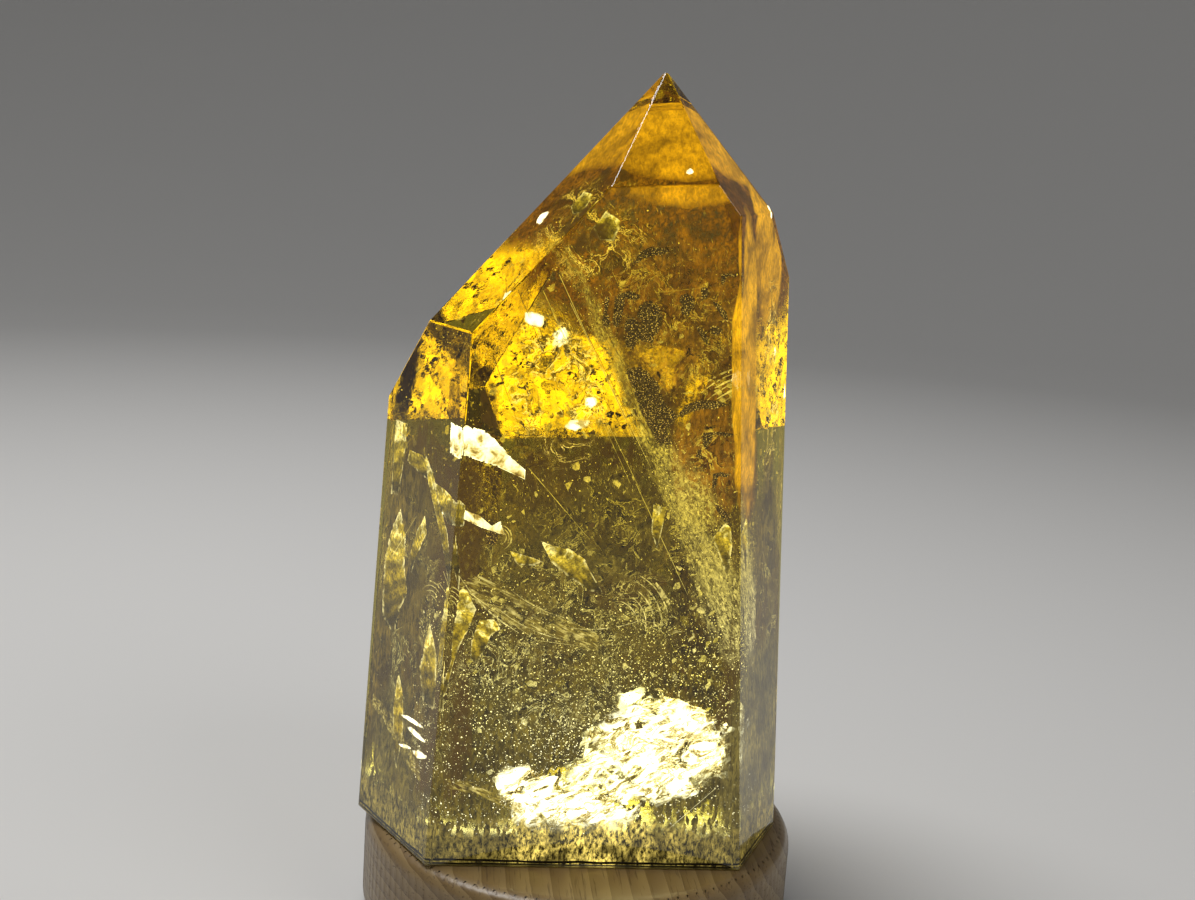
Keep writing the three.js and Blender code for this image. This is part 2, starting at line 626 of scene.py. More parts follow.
def rootFloorMaterial():
    material, tree = newMaterial("rootFloor")
    offset = vectorCalc(tree, "ADD", objectPattern(tree), rootFloor["poolMiddle"]).outputs[0]
    shaped = vectorCalc(tree, "MULTIPLY", offset, rootFloor["poolShape"]).outputs[0]
    away = vectorCalc(tree, "LENGTH", shaped).outputs["Value"]
    normal = addNode(tree, "ShaderNodeNewGeometry").outputs["Normal"]
    facing = addNode(tree, "ShaderNodeSeparateXYZ", {"Vector": normal}).outputs["Z"]
    unlit = rootFloor["unlit"]
    light = remap(tree, addNoise(tree, 7 * mm, detail=7, rough=0.68, distortion=1.2), 0.36, 0.66, 0.35, 1.35)
    for limit in (
        remap(tree, away, rootFloor["poolEdge"], rootFloor["poolCore"], unlit, 1),
        remap(tree, along(tree, "Y"), rootFloor["frontDark"], rootFloor["frontLit"], unlit, 1),
        remap(tree, attribute(tree, "inset"), rootFloor["insetDark"], rootFloor["insetLit"], unlit, 1),
        remap(tree, facing, 0, 0.3),
    ):
        light = times(tree, light, limit)
    return setFilm(
        material, multiplyColor(tree, heightGlow(tree), light),
        remap(tree, addNoise(tree, 3 * mm, detail=6, rough=0.7), 0.34, 0.42, 0.9, 1),
        strength=rootFloor["strength"],
    )


def isSide(normal):
    return abs(normal.z) < 0.2


def buildRootFloor():
    sheet = addLens("rootFloor", rootFloor["place"], rootFloor["size"], (0, 90, 0),
                    ripple=rootFloor["ripple"], grain=rootFloor["grain"], detail=6, margin=0.5)
    sides = [(center, normal) for center, normal in facets if isSide(normal)]
    inset = sheet.data.attributes.new("inset", "FLOAT", "POINT")
    for vertex in sheet.data.vertices:
        gap = min((center - vertex.co).dot(normal) for center, normal in sides)
        inset.data[vertex.index].value = gap / mm
    finishPiece(sheet, rootFloorMaterial())


# the root itself: small upright grains that hide the floor from the side, coloured with painted light that is
# brightest at their foot, as if lit from underneath
grains = {
    "host": (1, 8, 28), "size": (0.8, 2.2), "density": 0.045, "stretch": 2.6, "seed": 5, "drift": 0.4,
    "rounds": (5, 4), "lean": ((-0.2, -0.2, 0), (0.2, 0.2, 6)), "litHeight": 8 * mm,
    "colors": (
        (0.05, (0.9, 0.78, 0.4)), (0.3, (0.34, 0.26, 0.06)), (0.7, (0.12, 0.09, 0.018)),
        (1, (0.06, 0.042, 0.008)),
    ),
}


def grainMaterial():
    material, tree = newMaterial("rootGrain")
    height = remap(tree, along(tree, "Z"), stoneLow.z, stoneLow.z + grains["litHeight"])
    flaws = remap(tree, addNoise(tree, 0.9 * mm, detail=5, rough=0.7), 0.36, 0.66, 0.2, 2)
    return setFilm(material, multiplyColor(tree, colorRamp(tree, height, grains["colors"]), flaws))


def buildGrains():
    host = addLens("rootGrains", grains["host"], rootFloor["size"], (0, 90, 0), margin=3.6)
    addBubbles(host, grains["density"], grains["size"], grains["drift"], grains["seed"], grains["stretch"],
               grains["lean"], grains["rounds"])
    finishPiece(host, grainMaterial())


# curtains of tiny cracks: they glow dully with painted light in fine streaks, and are thin enough to see
# through in places
curtains = (
    {
        "name": "lowCurtains", "color": (0.14, 0.108, 0.024), "solid": 0.92, "stretch": (1, 1, 0.4),
        "fade": 0.7, "thin": 0.6, "bow": 14, "streak": (0.15, 2.5),
        "sheets": (
            ((-18, -9, 42), (76, 42), (0, -4, -6)), ((22, 8, 46), (60, 46), (0, 6, 10)),
            ((26, -20, 32), (40, 24), (8, 0, 0)), ((-26, -15, 44), (34, 40), (0, 4, -14)),
            ((36, -16, 48), (44, 56), (0, 0, 62)), ((-20, 47, 46), (46, 52), (0, 0, 180)),
            ((-34, 24, 46), (54, 52), (0, 0, -119)),
        ),
    },
    {
        "name": "sideCurtains", "color": (0.1, 0.068, 0.01), "solid": 0.85, "stretch": (1, 1, 0.3),
        "fade": 0.6, "thin": 0.5, "bow": 14, "streak": (0.1, 3.2),
        "sheets": (
            ((-40, -3, 54), (40, 64), (0, 0, -62)), ((-40, -6, 92), (26, 40), (0, 0, -62)),
            ((33, -6, 84), (24, 60), (0, 0, 62)),
        ),
    },
    {
        "name": "middleCurtains", "color": (0.13, 0.085, 0.01), "solid": 0.75, "stretch": (1, 1, 0.5),
        "fade": 0.5, "thin": 0.4, "bow": 10, "streak": (0.2, 2.4),
        "sheets": (((0, -5, 84), (84, 56), (0, 4, 4)),),
    },
    {
        "name": "amberCurtains", "color": (0.32, 0.14, 0.003), "solid": 0.9, "stretch": (1, 1, 0.25),
        "fade": 0.75, "thin": 0.75, "bow": 0, "streak": (0.3, 2.1),
        "sheets": (((7, 11.8, 157), (78, 58), (0, -35.6, 2.5)), ((20, -13, 112), (18, 32), (8, 0, 10))),
    },
    {
        "name": "goldCurtains", "color": (0.85, 0.42, 0.005), "solid": 0.88, "stretch": (1, 1, 0.6),
        "fade": 0.85, "thin": 0.8, "bow": 0, "streak": (0.75, 1.35),
        "sheets": (
            ((8, -5, 182), (100, 31), (0, 0, 0)), ((29, -5, 158), (20, 34), (0, 4, 60)),
            ((25.2, -23, 134), (14, 66), (0, 4.6, 61.7)),
        ),
    },
)


def curtainMaterial(curtain):
    material, tree = newMaterial(curtain["name"])
    streaks = addNoise(tree, 0.9 * mm, detail=6, rough=0.75, distortion=0.5, stretch=curtain["stretch"])
    drifts = addNoise(tree, 9 * mm, detail=4, rough=0.6, distortion=0.8)
    tone = times(
        tree, remap(tree, streaks, 0.38, 0.7, *curtain["streak"]),
        remap(tree, drifts, 0.35, 0.65, 0.4, 1.4),
    )
    solid = curtain["solid"]
    veiled = times(tree, remap(tree, streaks, 0.3, 0.55, 0.55 * solid, solid), fadeIn(tree, curtain["fade"]))
    return setFilm(
        material, multiplyColor(tree, (*curtain["color"], 1), tone),
        times(tree, veiled, remap(tree, drifts, 0.35, 0.55, curtain["thin"], 1)),
    )


def buildCurtains():
    for curtain in curtains:
        piece = addSheets(
            curtain["name"], curtain["sheets"], filmThickness, bow=curtain["bow"], wobble=5, ripple=2,
            grain=14, detail=5,
        )
        finishPiece(piece, curtainMaterial(curtain))


# a skirt of crushed crystal just inside the foot of each side, glowing with painted light that is brightest
# over the lamp
skirt = {
    "inset": 1.6, "size": (112, 24, filmThickness), "near": 31 * mm, "far": 38.5 * mm,
    "color": (0.11, 0.083, 0.018, 1), "hot": 14,
}


def skirtMaterial():
    material, tree = newMaterial("rootSkirt")
    flakes = addNoise(tree, 0.8 * mm, detail=7, rough=0.75, distortion=0.4, stretch=(1, 1, 0.5))
    lumps = addNoise(tree, 6 * mm, detail=4, distortion=0.8)
    heat = times(tree, remap(tree, fromMiddle(tree), skirt["near"], skirt["far"], 1, 0.05),
                 remap(tree, lumps, 0.4, 0.6, 0.1, 1))
    tone = times(tree, remap(tree, flakes, 0.38, 0.66, 0.1, 3.4), remap(tree, lumps, 0.35, 0.65, 0.4, 1.4))
    light = calc(tree, "ADD", tone, times(tree, heat, remap(tree, flakes, 0.42, 0.6, 0, skirt["hot"])))
    return setFilm(
        material, multiplyColor(tree, skirt["color"], light),
        times(tree, remap(tree, flakes, 0.3, 0.45, 0.75, 1), fadeIn(tree, 0.6)),
    )


def buildSkirt():
    sheets = []
    for center, normal in facets:
        if isSide(normal):
            azimuth, lean = math.degrees(math.atan2(normal.x, -normal.y)), math.degrees(math.asin(normal.z))
            place = (center - normal * skirt["inset"] * mm) / mm
            place.z = stoneLow.z / mm
            outward = Vector((normal.x, normal.y, 0)) * math.tan(math.radians(lean))
            place += outward * (center.z - stoneLow.z) / mm
            sheets.append(
                addLens(
                    f"skirt{len(sheets)}", place, skirt["size"], (0, lean, azimuth), ripple=1, grain=5,
                    detail=5, margin=0.5,
                ),
            )
    finishPiece(joinPieces(sheets, "rootSkirt"), skirtMaterial())


# the blown, frothy patch of root behind the lower right of the front face: a white and gold glow of painted
# light
bloom = {
    "sheets": (
        ((14, -20, 50), (30, 17), (-12, -14, 0)), ((21, -19, 47), (20, 18), (10, 12, 15)),
        ((8, -17, 44), (26, 13), (-25, 20, -12)), ((2, -20, 37), (18, 14), (-35, 5, 8)),
        ((-4, -21, 32), (20, 9), (-30, 25, 0)), ((17, -15, 55), (28, 8), (-20, 40, 0)),
        ((10, -12, 40), (34, 16), (5, 55, 0)), ((-4, -23, 31), (28, 9), (-14, 0, 0)),
        ((-12, -20, 37), (20, 12), (-30, 0, 0)),
    ),
    "thickness": 0.15, "bow": 30, "ripple": 2.6, "wobble": 6, "grain": 4, "lean": (0, math.radians(62), 0),
    "colors": (
        (0.42, (0.1, 0.065, 0.01)), (0.47, (0.5, 0.34, 0.05)), (0.51, (1, 0.93, 0.7)), (0.56, (1, 1, 0.97)),
    ),
}


def bloomMaterial():
    material, tree = newMaterial("rootBloom")
    arcs = leaningNoise(tree, 3.2 * mm, (1, 1, 2.4), bloom["lean"], detail=8, rough=0.68, distortion=1.5)
    gaps = contour(tree, addNoise(tree, 6 * mm, detail=6, rough=0.62, distortion=1), 0.5, 0.012)
    color = colorRamp(tree, arcs, bloom["colors"])
    strength = times(tree, remap(tree, gaps, 0.4, 1, 1, 0.05), remap(tree, arcs, 0.45, 0.6, 0.7, 5))
    islands = remap(tree, addNoise(tree, 8 * mm, detail=4, rough=0.6, distortion=0.8), 0.4, 0.46)
    alpha = times(tree, remap(tree, arcs, 0.42, 0.48), fadeIn(tree, 0.8))
    return setFilm(material, multiplyColor(tree, color, strength), times(tree, alpha, islands))


def buildBloom():
    piece = addSheets(
        "rootBloom", bloom["sheets"], bloom["thickness"], bow=bloom["bow"], wobble=bloom["wobble"],
        ripple=bloom["ripple"], grain=bloom["grain"], detail=5,
    )
    finishPiece(piece, bloomMaterial())


# the long healed crack that falls from the upper left to the lower right, with a glow and glints of painted
# light
veil = {
    "sheets": (
        ((-3, -15, 137), (52, 4), (-61, -8, 8)), ((8, -16.5, 117), (62, 8), (-60, 10, -14)),
        ((20, -18, 97), (50, 12), (-62, -16, 16)), ((27, -18, 80), (30, 14), (-66, 8, -10)),
    ),
    "density": 1.3, "size": (0.05, 0.26), "drift": 1, "seed": 11,
    "thickness": filmThickness, "bow": 18, "ripple": 1.4, "wobble": 2.4, "grain": 6,
    "lean": (0, math.radians(-28), 0),
}


def addVeil(name):
    return addSheets(name, veil["sheets"], veil["thickness"], bow=veil["bow"], wobble=veil["wobble"],
                     ripple=veil["ripple"], grain=veil["grain"], detail=5, margin=2)


def veilMaterial():
    material, tree = newMaterial("healedVeil")
    streaks = leaningNoise(tree, 0.55 * mm, (1, 1, 3.4), veil["lean"], detail=6, rough=0.75)
    patches = leaningNoise(tree, 4 * mm, (1, 1, 2.5), veil["lean"], detail=4)
    glint = times(
        tree, remap(tree, streaks, 0.42, 0.66, 0.12, 2.8), remap(tree, patches, 0.35, 0.65, 0.4, 1.2),
    )
    alpha = times(tree, remap(tree, streaks, 0.42, 0.6, 0.15, 0.8), remap(tree, patches, 0.38, 0.55, 0.25, 1))
    return setFilm(
        material, multiplyColor(tree, heightGlow(tree), glint),
        times(tree, alpha, fadeIn(tree, 0.5)), strength=0.8,
    )


def buildVeil():
    finishPiece(addVeil("healedVeil"), veilMaterial())
    bubbles = addBubbles(addVeil("veilBubbles"), veil["density"], veil["size"], veil["drift"], veil["seed"])
    finishPiece(bubbles, dotMaterial("veilBubbles", 2.07))


# bubbles and streaks that glow with painted light and a painted sparkle
def dotMaterial(name, strength):
    material, tree = newMaterial(name)
    sparkle = remap(tree, addNoise(tree, 0.8 * mm, detail=2), 0.35, 0.65, 0.15, 1.6)
    return setFilm(material, multiplyColor(tree, heightGlow(tree), sparkle), strength=strength)


# a rain of fine slanting streaks: the lit ones glow with painted light, the dark ones are painted shade
rain = {
    "hosts": (
        ((0, -18, 132), (60, 70), (0, 0, 0)), ((5, -10, 90), (80, 60), (0, 0, 0)),
        ((33, -4, 110), (40, 110), (0, 0, 62)), ((-12, 10, 120), (70, 80), (0, 0, 0)),
    ),
    "seeds": {"lit": 71, "dark": 81}, "density": 0.2, "size": (0.03, 0.1), "stretch": 14, "spread": 3,
    "lean": ((-0.3, -0.5, 0), (0.3, -0.1, 0)),
}


def buildRain():
    for kind, material in (
        ("lit", dotMaterial("litRain", 1.495)),
        ("dark", shadeMaterial("darkRain", paintedShadeColor, 0.9, 1, solid=0.8, contrast=0.4)),
    ):
        host = addSheets(kind + "Rain", rain["hosts"], margin=rain["spread"] + 2, **scatterHost)
        addBubbles(host, rain["density"], rain["size"], rain["spread"], rain["seeds"][kind], rain["stretch"],
                   rain["lean"])
        finishPiece(host, material)


# a shell-shaped crack: thin ribs that glow with painted light curve around the point it spread from; spans
# are in degrees
fans = (
    {
        "name": "nearFan", "place": (2.1, -22, 77), "turn": (0, 6, 0),
        "arcs": (
            (12.6, 0.9, 22, 48), (11.7, 0.3, 10, 66), (10.2, 0.2, 0, 75), (8.6, 0.3, -5, 60),
            (6.8, 0.2, -12, 70), (5, 0.3, 5, 80),
        ),
    },
    {
        "name": "bigFan", "place": (-4, -20, 104), "turn": (0, 8, 0),
        "arcs": (
            (33, 0.3, 212, 244), (31.2, 0.14, 226, 262), (28.4, 0.16, 262, 296), (26.4, 0.14, 232, 258),
        ),
    },
    {
        "name": "combFan", "place": (29, -26.2, 117), "turn": (0, 0, 0),
        "arcs": (
            (18, 0.4, 108, 130), (17, 0.25, 110, 138), (16, 0.4, 109, 128), (15, 0.25, 112, 140),
            (13.8, 0.35, 110, 132), (12.6, 0.25, 114, 140),
        ),
    },
    {
        "name": "curlFan", "place": (-23.6, -20, 94.6), "turn": (0, 0, 0),
        "arcs": ((2.7, 0.3, -70, 80), (2.1, 0.16, -40, 100), (1.5, 0.2, -80, 60)),
    },
    {
        "name": "sideFan", "place": (-33, -17, 76), "turn": (0, 0, -60),
        "arcs": ((7, 0.3, 60, 120), (6, 0.16, 50, 140), (4.9, 0.2, 60, 125), (3.8, 0.14, 40, 130)),
    },
    {
        "name": "highFan", "place": (9, -10, 147), "turn": (0, 10, 10),
        "arcs": ((8, 0.24, 150, 215), (7.2, 0.4, 170, 200), (6, 0.16, 140, 220), (4.8, 0.2, 100, 190)),
    },
    {
        "name": "backFan", "place": (-6, 44, 84), "turn": (0, 0, 180),
        "arcs": (
            (14, 0.4, 20, 60), (12.5, 0.2, 0, 80), (11, 0.2, 10, 70), (9, 0.3, -10, 65), (7, 0.16, 0, 90),
        ),
    },
    {
        "name": "rightFan", "place": (30, 16, 104), "turn": (0, 0, 112),
        "arcs": ((12, 0.4, 190, 240), (10.5, 0.2, 170, 260), (9, 0.2, 180, 250), (7.5, 0.16, 200, 280)),
    },
)
arcStep = 6


def arcOutline(radius, width, start, end):
    steps = max(3, round((end - start) / arcStep))
    outer, inner = [], []
    for step in range(steps + 1):
        angle = math.radians(start + (end - start) * step / steps)
        innerRadius = radius - width * math.sin(math.pi * (step + 0.5) / (steps + 1))
        outer.append((radius * math.cos(angle), radius * math.sin(angle)))
        inner.append((innerRadius * math.cos(angle), innerRadius * math.sin(angle)))
    return outer + inner[::-1]


def buildFans():
    ribs = [
        addFlake(f"{fan['name']}{number}", fan["place"], arcOutline(*arc), fan["turn"], 0.1, ripple=1, cuts=1)
        for fan in fans for number, arc in enumerate(fan["arcs"])
    ]
    material = litMaterial("shellFan", 1.955, 0.5, 1.4, solid=0.85, contrast=0.2)
    finishPiece(joinPieces(ribs, "shellFans"), material)


# cracks seen face on: a dull film of painted glow crossed by edges, each one a line of painted shade beside a
# line of painted light
cracks = (
    {
        "name": "amberCracks", "film": (0.3, 0.14, 0.006), "filmSolid": 0.3, "grain": 6,
        "edge": (1.6, 1.6, 1.4, 1),
        "sheets": (
            ((10, -15, 144), (36, 36), (0, 8, 0)), ((17, -8, 134), (28, 32), (20, -10, 14)),
            ((20, -17, 112), (18, 28), (0, 0, 10)),
        ),
    },
    {
        "name": "oliveCracks", "film": (0.13, 0.095, 0.015), "filmSolid": 0.3, "grain": 5,
        "edge": (1.4, 1.4, 1.2, 1),
        "sheets": (
            ((-37, -11, 92), (22, 24), (0, 0, -60)), ((-36, -12, 62), (24, 56), (0, 0, -61)),
            ((34, -6, 72), (20, 60), (0, 0, 62)), ((-4, -19, 82), (54, 26), (-15, 0, 0)),
            ((6, -13, 98), (52, 26), (10, 10, 0)), ((-14, -22, 66), (44, 28), (-24, 6, 0)),
        ),
    },
    {
        "name": "clearCracks", "film": (0.4, 0.25, 0.01), "filmSolid": 0.06, "grain": 7,
        "edge": (3, 3, 5, 1),
        "sheets": (
            ((-14, -17, 128), (24, 38), (20, 0, -10)), ((-4, -10, 158), (26, 18), (30, 10, 0)),
            ((33, -6, 130), (18, 50), (0, 0, 62)), ((-16, 47, 84), (44, 56), (0, 0, 180)),
            ((-34, 24, 84), (50, 70), (0, 0, -119)), ((31, 18, 102), (44, 50), (0, 0, 112)),
        ),
    },
)


def crackMaterial(crack):
    material, tree = newMaterial(crack["name"])
    pattern = addNoise(tree, crack["grain"] * mm, detail=6, rough=0.6, distortion=1.4)
    broken = remap(tree, addNoise(tree, 7 * mm, detail=4, rough=0.6), 0.43, 0.55)
    fine = addNoise(tree, 0.8 * mm, detail=5, rough=0.7, stretch=(1, 1, 0.5))
    bright = times(tree, contour(tree, pattern, 0.535, 0.013), broken)
    # small flecks of painted shade
    darkFlecks = remap(tree, addNoise(tree, 2.2 * mm, detail=6, rough=0.7, distortion=1.5), 0.62, 0.65)
    dark = larger(tree, times(tree, contour(tree, pattern, 0.49, 0.035), broken), darkFlecks)
    film = times(tree, remap(tree, fine, 0.35, 0.65, 0.3, 1.6), remap(tree, pattern, 0.4, 0.6, 0.4, 1.4))
    darkened = multiplyColor(
        tree, multiplyColor(tree, (*crack["film"], 1), film), remap(tree, dark, 0, 1, 1, 0.02),
    )
    covered = times(tree, remap(tree, fine, 0.4, 0.6, 0.3, 1), crack["filmSolid"])
    alpha = larger(tree, larger(tree, times(tree, bright, 0.95), times(tree, dark, 0.85)), covered)
    edges = multiplyColor(tree, heightGlow(tree), crack["edge"])
    return setFilm(
        material, mixColor(tree, bright, darkened, edges),
        times(tree, alpha, fadeIn(tree, 0.7)), strength=1.4,
    )


def buildCracks():
    for crack in cracks:
        sheets = [
            addLens(f"{crack['name']}{number}", place, (width, height, filmThickness), turn, bow=16,
                    wobble=width * 0.2, ripple=2.5)
            for number, (place, (width, height), turn) in enumerate(crack["sheets"])
        ]
        finishPiece(joinPieces(sheets, crack["name"]), crackMaterial(crack))


# flat chips of crack lie at all angles through the stone; some glow with painted lamp light and some are
# painted shade
chips = {
    "hosts": (
        ((0, -14, 95), (80, 130), (0, 0, 0)), ((0, 6, 90), (90, 120), (0, 0, 10)),
        ((0, 26, 80), (84, 100), (0, 0, 0)), ((30, 2, 95), (70, 110), (0, 0, 62)),
        ((-32, 4, 80), (60, 90), (0, 0, -62)),
    ),
    "lit": (0.022, (0.2, 2.1), 51), "dark": (0.007, (0.3, 2), 61), "flatness": 0.05, "spread": 5,
    "crinkle": 2.6, "rounds": (8, 4),
}


def buildChips():
    for kind, material in (
        ("lit", litMaterial("litChip", 1.84, 0.6, 0.5, solid=0.8, contrast=0.3)),
        ("dark", shadeMaterial("darkChip", paintedShadeColor, 0.7, 0.6, solid=0.85, contrast=0.2)),
    ):
        density, size, seed = chips[kind]
        host = addSheets(kind + "Chips", chips["hosts"], margin=chips["spread"] + 3, **scatterHost)
        addBubbles(host, density, size, chips["spread"], seed, chips["flatness"], rounds=chips["rounds"],
                   crinkle=chips["crinkle"])
        finishPiece(host, material)


# bubble swarms through the lower half, glowing with painted light
swarms = (
    {
        "name": "lowerSwarm", "strength": 2.415, "density": 0.9, "size": (0.06, 0.36), "spread": 3,
        "seed": 21,
        "sheets": (
            ((-14, -20, 68), (46, 36), (-20, 8, 0)), ((-6, -14, 62), (60, 40), (15, -12, 10)),
            ((14, -18, 66), (40, 34), (0, 10, -12)),
        ),
    },
    {
        "name": "baseSwarm", "strength": 2.185, "density": 0.75, "size": (0.06, 0.34), "spread": 2.5,
        "seed": 31,
        "sheets": (
            ((-16, -26, 42), (56, 40), (0, 4, -6)), ((10, -24, 40), (60, 40), (0, 4, 6)),
            ((0, 5, 36), (76, 30), (0, -10, 5)), ((-38, -2, 48), (30, 46), (10, 0, -62)),
            ((33, -2, 52), (30, 56), (0, 0, 62)),
        ),
    },
    {
        "name": "upperSwarm", "strength": 2.53, "density": 0.16, "size": (0.06, 0.36), "spread": 4,
        "seed": 41,
        "sheets": (
            ((0, -10, 120), (70, 90), (0, 0, 0)), ((0, 20, 105), (70, 90), (0, 0, 20)),
            ((30, 5, 110), (40, 80), (0, 0, 62)), ((-34, 0, 95), (40, 60), (0, 0, -62)),
        ),
    },
)


def buildSwarms():
    for swarm in swarms:
        host = addSheets(swarm["name"], swarm["sheets"], margin=swarm["spread"] + 1.2, **swarmHost)
        addBubbles(host, swarm["density"], swarm["size"], swarm["spread"], swarm["seed"])
        finishPiece(host, dotMaterial(swarm["name"], swarm["strength"]))


# cracks with painted flashes: painted reflections of the lamp back at the eye; the left face of the stone
# looks this way, in degrees
leftYaw = -62
flashes = {
    "outlined": (
        (
            "flakeTop", (-26, -20.5, 113),
            ((-6.5, 5.5), (-2, 4.5), (0, 3), (4.5, -1.5), (7, -3.5), (7, -5.5), (1, -3), (-6, -1)),
        ),
        (
            "flakeMid", (-27.5, -19, 98),
            ((-5, 2.5), (-0.5, 1), (2, -1), (4, 0), (5, -3), (0, -1.5), (-5, 0.5)),
        ),
    ),
    "spots": (
        ((-19, -18, 141), (4.5, 3), -20), ((-13, -16, 137.4), (3.5, 4.4), -30),
        ((-6, -18, 124.4), (2.6, 2.6), 0), ((-8.6, -18, 119.4), (5.5, 2.2), 10),
        ((-16, -13, 160), (2.6, 3.4), -20), ((0.2, -10, 186.6), (2.6, 0.8), 45),
        ((11.5, -19, 171.5), (1.8, 1.4), 0), ((30, -6, 165.2), (1.2, 2), 0),
        ((24.4, -20, 130.8), (1.6, 4.6), 5), ((33.9, -3, 134.9), (1.4, 2.6), 5),
        ((39, 3, 125), (0.9, 4), 0),
    ),
    "leftSpots": (
        ((-38.7, -19.4, 51.7), (11, 1), 4), ((-37.5, -21.4, 49.4), (9, 1.3), -3),
        ((-40, -17.6, 45), (6, 0.9), 12), ((-36.6, -23.6, 45.6), (7, 1.8), 10),
    ),
}


def flashMaterial():
    material, tree = newMaterial("lampFlash")
    slope = remap(tree, attribute(tree, "down"), 0, 1, 1.2, 0.35)
    lumps = remap(tree, addNoise(tree, 3.5 * mm, detail=5, rough=0.6, distortion=0.4), 0.38, 0.6, 0.4, 1.6)
    mottle = times(tree, lumps, larger(tree, slope, attribute(tree, "rim")))
    color = colorRamp(tree, mottle, (
        (0.2, (0.4, 0.2, 0.02)), (0.45, (0.8, 0.58, 0.16)), (0.8, (1, 0.94, 0.66)),
    ))
    return setFilm(
        material, multiplyColor(tree, color, mottle),
        times(tree, tornEdge(tree, 1.1), fadeIn(tree, 0.55)), strength=2.4,
    )


def buildFlashes():
    pieces = [addFlake(name, place, outline) for name, place, outline in flashes["outlined"]]
    for yaw, spots in ((0, flashes["spots"]), (leftYaw, flashes["leftSpots"])):
        for number, (place, size, spin) in enumerate(spots):
            pieces.append(
                addLens(
                    f"flash{number}", place, (*size, filmThickness), (spin, 0, yaw), wobble=size[1] * 0.5,
                    ripple=0.4, grain=1.6, detail=3, margin=0.4,
                ),
            )
    finishPiece(joinPieces(pieces, "lampFlashes"), flashMaterial())


# ribbed flakes that glow dull gold with painted light, brighter towards the top, with a painted highlight on
# the rim: each has a place, a yaw and an outline
goldFlakes = (
    (
        "wavyFlake", (-7.5, -24.5, 89.5), 0,
        ((-7.5, 5.5), (-4.5, 4.5), (-1, 4), (2, 2), (3, 0), (6.5, -5.5), (3.5, -5), (-2, -1.5), (-5, 1)),
    ),
    ("diamond", (10, -22, 99.5), 0, ((-1.5, 4), (1.5, 3.5), (1, 0), (0, -5.5), (-1.5, -2))),
    ("rhomb", (-4.5, -12, 160.5), 0, ((-3, 0), (-0.5, 3.5), (3, 1.5), (1.5, -2.5), (-1.5, -2.5))),
    ("cornerFlake", (24, -20, 95), 0, ((-2, 1.5), (1.5, 6), (2.5, 0), (2, -7))),
    (
        "nearLeaf", (-31.5, -25, 71), -20,
        ((0, 13), (1.5, 13), (4, 9), (2, 3.5), (0, -1), (-2, -10.5), (-4, -13), (-1, -3), (-1, 4)),
    ),
    (
        "nextLeaf", (-25.5, -27, 73), 0,
        ((-1.5, 5), (1.5, 5), (3, 3), (1, 1.5), (-1.5, -5), (-3, -4), (-3, 0.5)),
    ),
    ("leafRoot", (-18, -26.5, 91), 0, ((-3.5, 2), (3.5, 0), (2, -1), (-2, -1))),
    (
        "farLeaf", (-43, -7.5, 82), leftYaw,
        ((-1, 14), (2, 8.5), (2.5, 2), (5, -4), (2, -8), (0, -15), (-6, -12), (-7, -6), (-7, 2), (-4, 10)),
    ),
    (
        "ridge", (-35.5, -20.5, 98), leftYaw,
        ((-8, 13), (-3, 9), (0, 4), (5, -2), (8, -9), (8, -14), (4.5, -7), (0, 0), (-4.5, 6)),
    ),
    (
        "shoulder", (-33.5, -24, 101), leftYaw,
        ((-6, 4), (-1.5, 3.5), (5, 1.5), (4.5, -3), (1, -3.5), (-3, -0.5)),
    ),
    (
        "curl", (-39, -12.5, 107.5), leftYaw,
        ((-6, 2), (0, 2), (5, -1), (7.5, -3), (4, -3), (-3, -1.5), (-6.5, -0.5)),
    ),
    (
        "streak", (-39, -14.5, 90), leftYaw,
        ((2, 7), (3.5, 3.5), (0, -2), (-2.5, -7), (-3.5, -2.5), (-0.5, 3.5)),
    ),
    (
        "lowStreak", (-35.5, -23, 66), leftYaw,
        ((-1, 9), (3, 4), (4, -2.5), (4, -9), (-1, -9), (-4, -2.5), (-2.5, 3)),
    ),
    ("farPanel", (-44, -3.5, 106), leftYaw, ((-3, 9), (2.5, 9), (2, 1), (0.5, -7.5), (-3, -8))),
    ("lowLeaf", (-41, -13, 50), leftYaw, ((-2, 10), (1, 6), (2.5, -2), (0.5, -12), (-2, -8), (-3, 1))),
)


def flakeMaterial():
    material, tree = newMaterial("ribbedGold")
    ribs = addNode(tree, "ShaderNodeTexWave", {
        "Vector": objectPattern(tree), "Scale": 130, "Distortion": 6, "Detail": 3, "Detail Scale": 0.6,
    }, bands_direction="DIAGONAL").outputs["Fac"]
    mottle = addNoise(tree, 3 * mm, detail=5, rough=0.65, distortion=1)
    slope = times(
        tree, remap(tree, attribute(tree, "down"), 0, 1, 1, 0), remap(tree, mottle, 0.35, 0.65, 0.5, 1.5),
    )
    color = colorRamp(tree, slope, (
        (0.1, (0.05, 0.035, 0.002)), (0.45, (0.26, 0.18, 0.008)), (0.8, (0.52, 0.38, 0.03)),
        (1, (0.9, 0.76, 0.26)),
    ))
    grit = remap(tree, addNoise(tree, 0.7 * mm, detail=5, rough=0.75), 0.36, 0.6, 0.35, 1.3)
    ribbed = multiplyColor(tree, color, times(tree, remap(tree, ribs, 0.2, 0.8, 0.6, 1.25), grit))
    # a painted highlight along the torn rim
    edge = times(tree, attribute(tree, "rim"), remap(tree, mottle, 0.45, 0.6))
    return setFilm(
        material, mixColor(tree, edge, ribbed, (0.95, 0.82, 0.36, 1)),
        times(tree, tornEdge(tree, 1.4), remap(tree, slope, 0, 0.35, 0.5, 0.95)), strength=1.5,
    )


def buildGoldFlakes():
    pieces = [
        addFlake(name, place, outline, (0, 0, yaw), ripple=1.2)
        for name, place, yaw, outline in goldFlakes
    ]
    finishPiece(joinPieces(pieces, "goldFlakes"), flakeMaterial())
